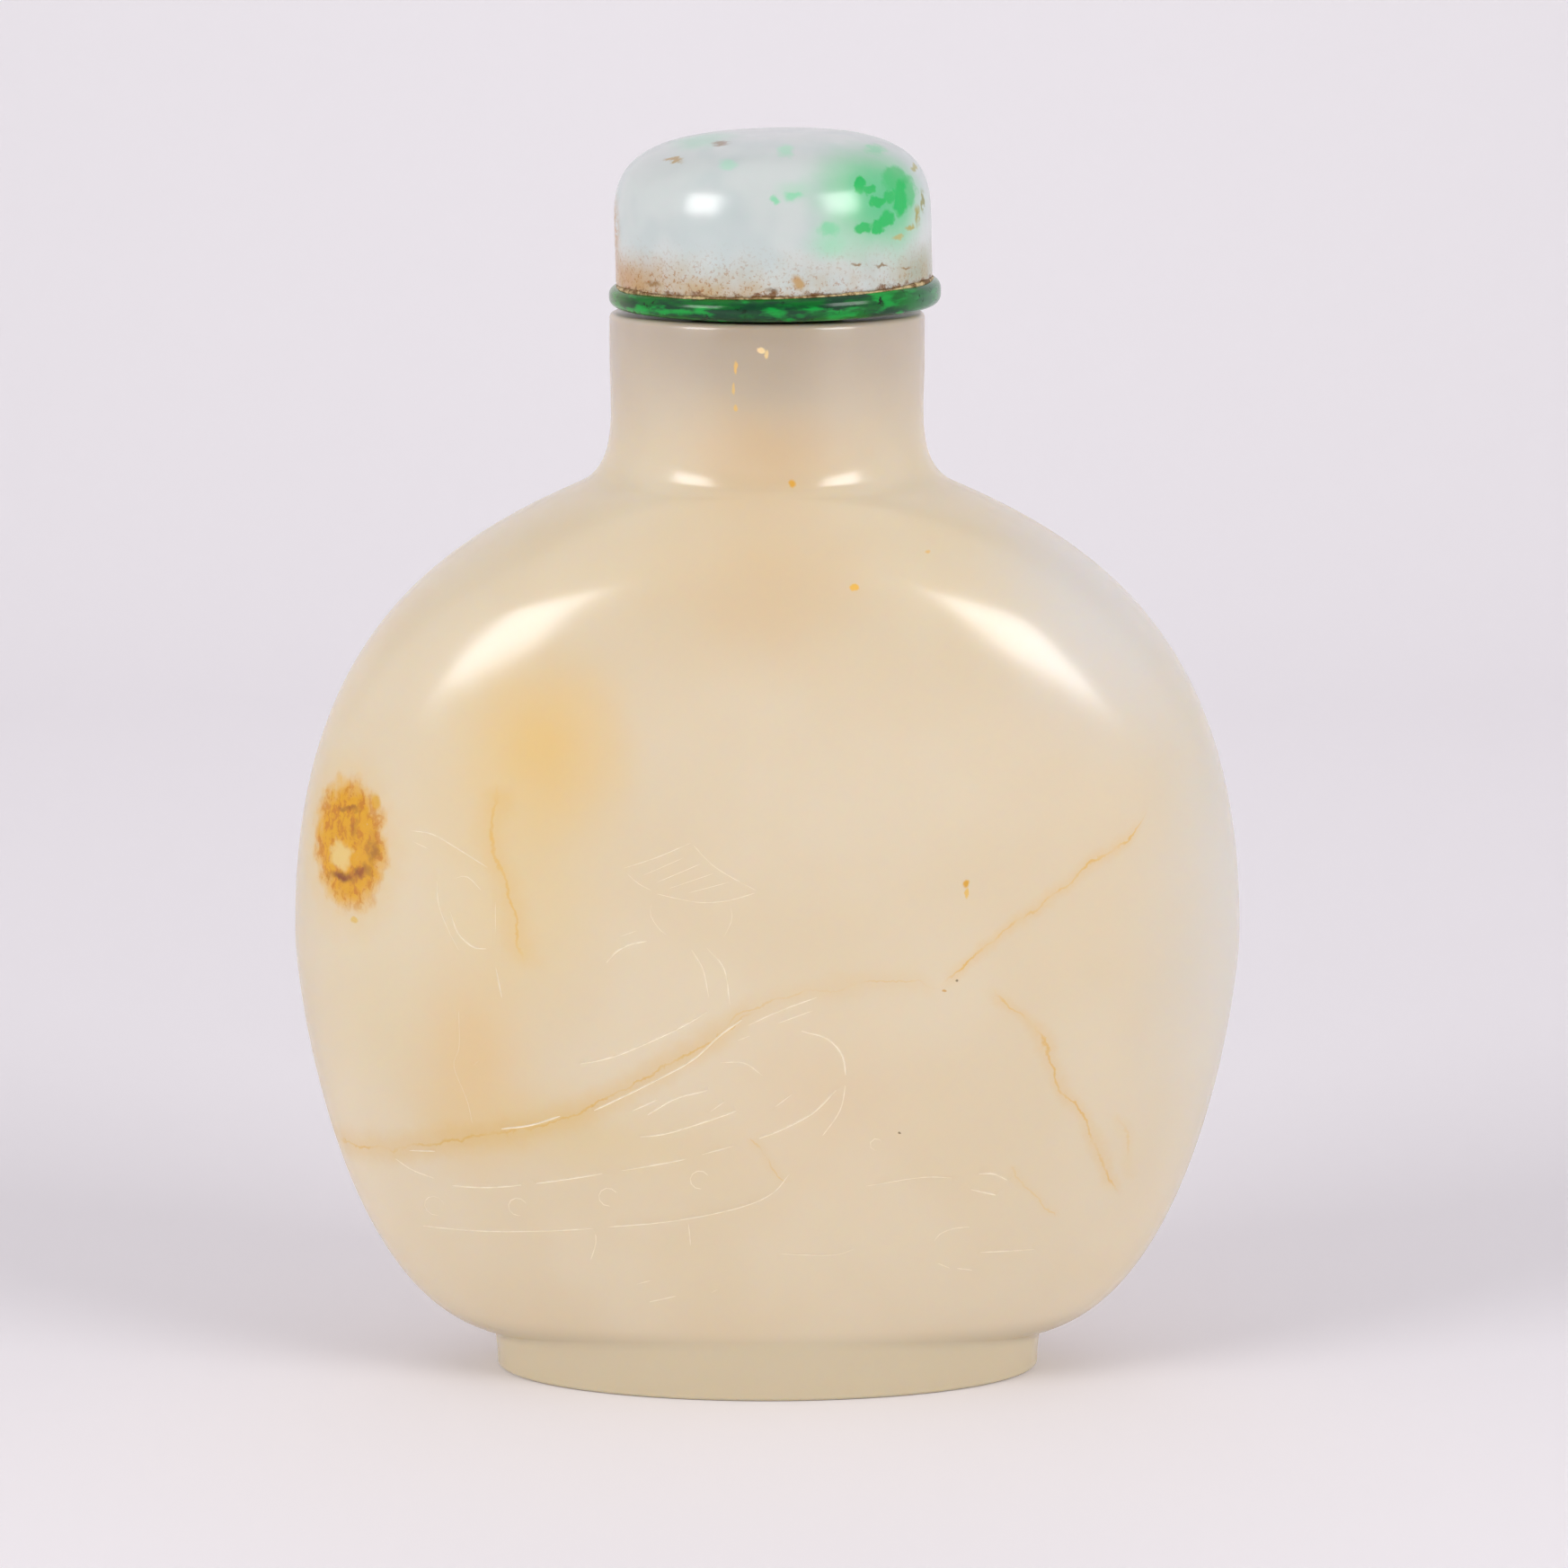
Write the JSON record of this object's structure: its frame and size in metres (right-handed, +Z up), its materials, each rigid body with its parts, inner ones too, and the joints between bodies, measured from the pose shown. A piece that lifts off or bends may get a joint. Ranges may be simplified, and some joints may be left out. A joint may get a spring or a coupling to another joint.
{
  "type": "snuff bottle",
  "caption": "Flattened round stone snuff bottle on an oval foot, hollow inside, with a domed stopper on a thin collar and a cork in the neck.",
  "frame": {"origin": "centre of the underside of the oval foot, on the surface that the bottle stands on", "axes": "+Z up along the neck, X across the broad face, the engraved broad face looks along -Y"},
  "size_m": [0.0506, 0.0238, 0.0665],
  "materials": {
    "pale_nephrite": "polished, slightly waxy and translucent",
    "white_and_green_jadeite": "polished, pale with green patches",
    "green_jadeite": "polished, mottled dark green",
    "old_cork": "bare, dark with age"
  },
  "bodies": {
    "root": {"bottle_body": "pale_nephrite", "stopper_cap": "white_and_green_jadeite", "stopper_collar": "green_jadeite", "stopper_cork": "old_cork"}
  },
  "joints": []
}
